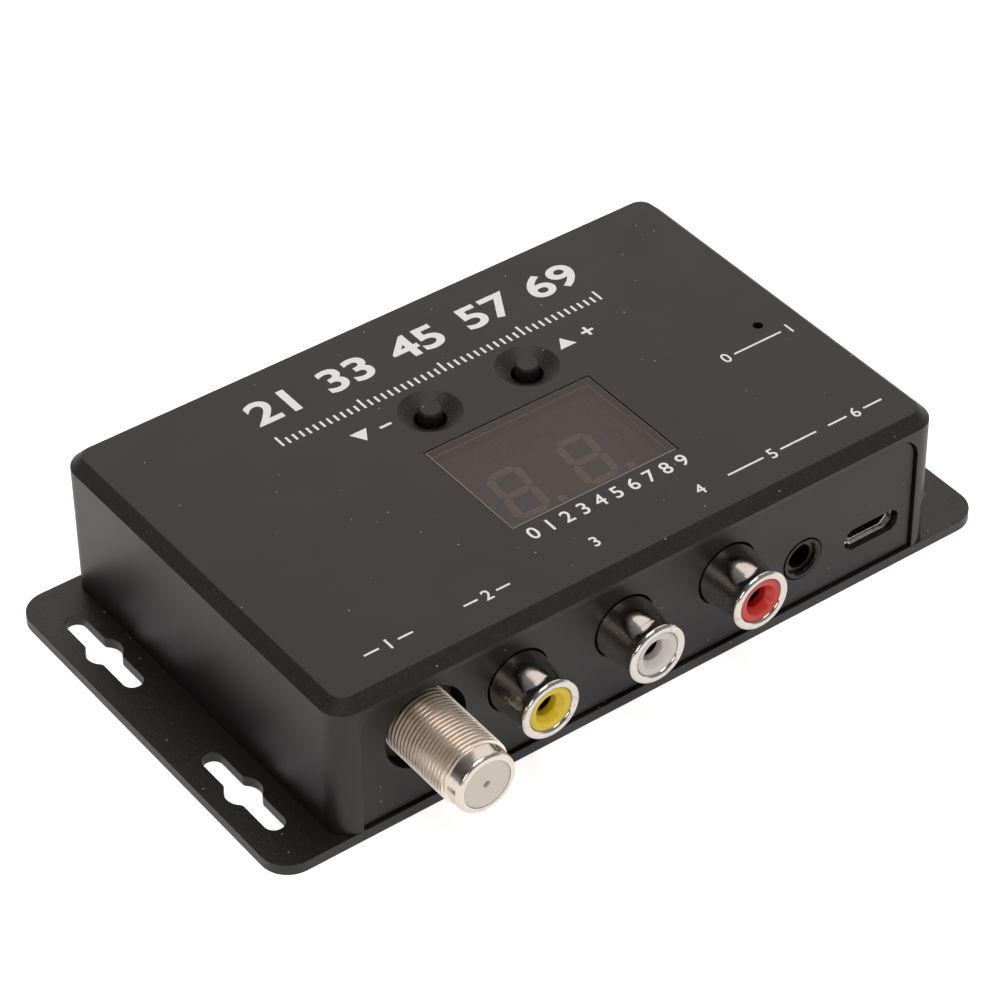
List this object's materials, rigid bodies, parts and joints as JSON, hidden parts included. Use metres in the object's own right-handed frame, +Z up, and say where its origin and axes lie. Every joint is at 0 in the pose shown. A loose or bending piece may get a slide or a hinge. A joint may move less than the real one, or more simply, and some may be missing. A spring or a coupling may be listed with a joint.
{
  "type": "rf modulator",
  "caption": "Black moulded video-to-aerial modulator box with slotted mounting ears, stem buttons, a display window, phono jacks and a threaded coaxial outlet.",
  "frame": {"origin": "centre of the base plate's underside, on the case's middle line and half-way through its depth", "axes": "+X to the right along the connector row, the connectors face -Y, +Z up out of the top face"},
  "size_m": [0.1128, 0.0736, 0.0234],
  "materials": {
    "case_plastic": "satin black moulded plastic with a fine grain",
    "panel_plastic": "satin black moulded plastic",
    "smoked_window": "smoked glossy acrylic",
    "segment_plastic": "unlit translucent display segments",
    "black_plastic": "black engineering plastic",
    "tinned_metal": "tin-plated sheet and leads",
    "board": "green solder mask",
    "nickel": "warm nickel plate",
    "milky_plastic": "off-white dielectric",
    "brass": "brass contact metal",
    "chrome": "bright chrome plate",
    "yellow_plastic": "yellow moulded plastic",
    "white_plastic": "white moulded plastic",
    "red_plastic": "red moulded plastic",
    "clear_plastic": "clear acrylic light pipe",
    "lamp": "small indicator lamp",
    "capacitor_sleeve": "black printed sleeve",
    "screw_steel": "zinc-plated steel"
  },
  "bodies": {
    "case": {"top_cover": "case_plastic", "base_plate": "case_plastic", "front_panel": "panel_plastic", "display_window": "smoked_window", "display_body": "panel_plastic", "display_segments": "segment_plastic", "display_riser": "black_plastic", "display_pins": "tinned_metal", "circuit_board": "board", "coax_shell": "nickel", "coax_insulator": "milky_plastic", "coax_contact": "brass", "video_jack_shell": "chrome", "video_jack_insulator": "yellow_plastic", "video_jack_contact": "brass", "video_jack_body": "black_plastic", "audio_left_jack_shell": "chrome", "audio_left_jack_insulator": "white_plastic", "audio_left_jack_contact": "brass", "audio_left_jack_body": "black_plastic", "audio_right_jack_shell": "chrome", "audio_right_jack_insulator": "red_plastic", "audio_right_jack_contact": "brass", "audio_right_jack_body": "black_plastic", "sensor_socket_body": "black_plastic", "sensor_socket_eyelet": "chrome", "power_socket_shell": "chrome", "power_socket_tongue": "black_plastic", "power_socket_contacts": "tinned_metal", "light_pipe": "clear_plastic", "power_lamp": "lamp", "shield_can": "tinned_metal", "shield_lid": "tinned_metal", "controller_chip": "black_plastic", "crystal": "tinned_metal", "capacitors": "capacitor_sleeve", "regulator": "black_plastic", "inductor": "brass", "chip_parts": "tinned_metal", "down_switch_base": "black_plastic", "down_switch_cap": "tinned_metal", "down_switch_dome": "brass", "up_switch_base": "black_plastic", "up_switch_cap": "tinned_metal", "up_switch_dome": "brass", "case_screws": "screw_steel"},
    "down_button": {"down_button": "case_plastic"},
    "up_button": {"up_button": "case_plastic"}
  },
  "joints": [
    {"name": "down_button_press", "type": "slide", "parent": "case", "child": "down_button", "axis": [0, 0, -1], "range_m": [0, 0.0003], "stiffness_N_per_m": 900},
    {"name": "up_button_press", "type": "slide", "parent": "case", "child": "up_button", "axis": [0, 0, -1], "range_m": [0, 0.0003], "stiffness_N_per_m": 900}
  ]
}
